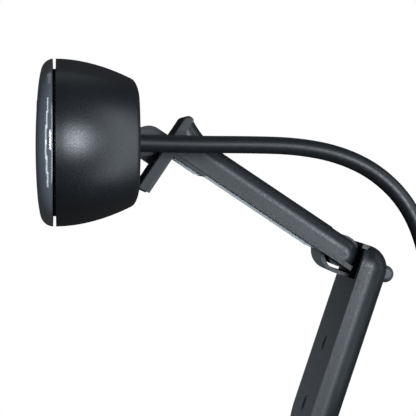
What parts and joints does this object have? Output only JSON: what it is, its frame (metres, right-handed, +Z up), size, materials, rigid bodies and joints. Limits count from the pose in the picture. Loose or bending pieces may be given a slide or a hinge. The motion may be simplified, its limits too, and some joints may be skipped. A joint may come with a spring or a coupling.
{
  "type": "webcam",
  "caption": "Desktop webcam with an oval head that tilts on a folding screen clip with a lip, padded arm and swing leg, and a coiled cord with its plug.",
  "frame": {"origin": "middle of the long pad's underside, where the clip's arm rests on a screen's top edge", "axes": "X across the webcam (its longest way without the cord), the lens faces -Y, +Z up with the head level and the clip's arm pitched 33.8 degrees down to the rear"},
  "size_m": [0.073, 0.089, 0.1453],
  "materials": {
    "bezel_gloss": "glossy slate grey",
    "shell_matte": "soft-touch fine grain, black",
    "trim_gloss": "glossy black",
    "black_plastic": "matt black",
    "clear_glass": "coated lens glass",
    "sensor_glass": "dark, mirror-like",
    "board_green": "solder mask",
    "chip_black": "moulded epoxy",
    "white_plastic": "natural nylon",
    "clear_plastic": "clear acrylic",
    "cord_sheath": "satin black sheath",
    "steel": "ground",
    "screw_steel": "black zinc plated",
    "soft_rubber": "satin",
    "tie_black": "matt",
    "plug_black": "fine grain",
    "plug_nickel": "nickel plated",
    "contact_gold": "gold plated",
    "clip_satin": "satin charcoal",
    "clip_matte": "matt charcoal",
    "liner_rubber": "matt dark grey",
    "pad_grey": "light grey foam rubber"
  },
  "bodies": {
    "clip": {"arm_shell": "clip_satin", "arm_lower_plate": "clip_matte", "front_plate": "clip_satin", "corner_liner": "liner_rubber", "short_pad": "pad_grey", "long_pad": "pad_grey", "arm_screws": "screw_steel", "fold_pin": "steel"},
    "head": {"front_bezel": "bezel_gloss", "rear_shell": "shell_matte", "lens_trim_ring": "trim_gloss", "lens_barrel": "black_plastic", "lens_window": "clear_glass", "lens_elements": "clear_glass", "lens_holder": "black_plastic", "image_sensor": "sensor_glass", "main_board": "board_green", "board_chips": "chip_black", "cable_connector": "white_plastic", "inner_cable": "cord_sheath", "cable_grommet": "cord_sheath", "microphone": "steel", "microphone_boot": "soft_rubber", "light_pipe": "clear_plastic", "status_led": "white_plastic", "case_screws": "screw_steel", "board_screws": "screw_steel", "tilt_pin": "steel", "tilt_washers": "white_plastic", "cord_lead": "cord_sheath", "cord_coil": "cord_sheath", "coil_tie": "tie_black", "cord_tail": "cord_sheath", "plug_overmould": "plug_black", "plug_shell": "plug_nickel", "plug_tongue": "white_plastic", "plug_contacts": "contact_gold"},
    "leg": {"leg_outer_shell": "clip_satin", "leg_inner_panel": "clip_matte", "rear_bumper": "soft_rubber", "leg_screws": "screw_steel"}
  },
  "joints": [
    {"name": "head_tilt", "type": "hinge", "parent": "clip", "child": "head", "pos_m": [0, -0.02058, 0.01292], "axis": [-1, 0, 0], "range_deg": [0, 65]},
    {"name": "leg_fold", "type": "hinge", "parent": "clip", "child": "leg", "pos_m": [0, 0.01491, -0.0078], "axis": [-1, 0, 0], "range_deg": [-50, 105]}
  ]
}
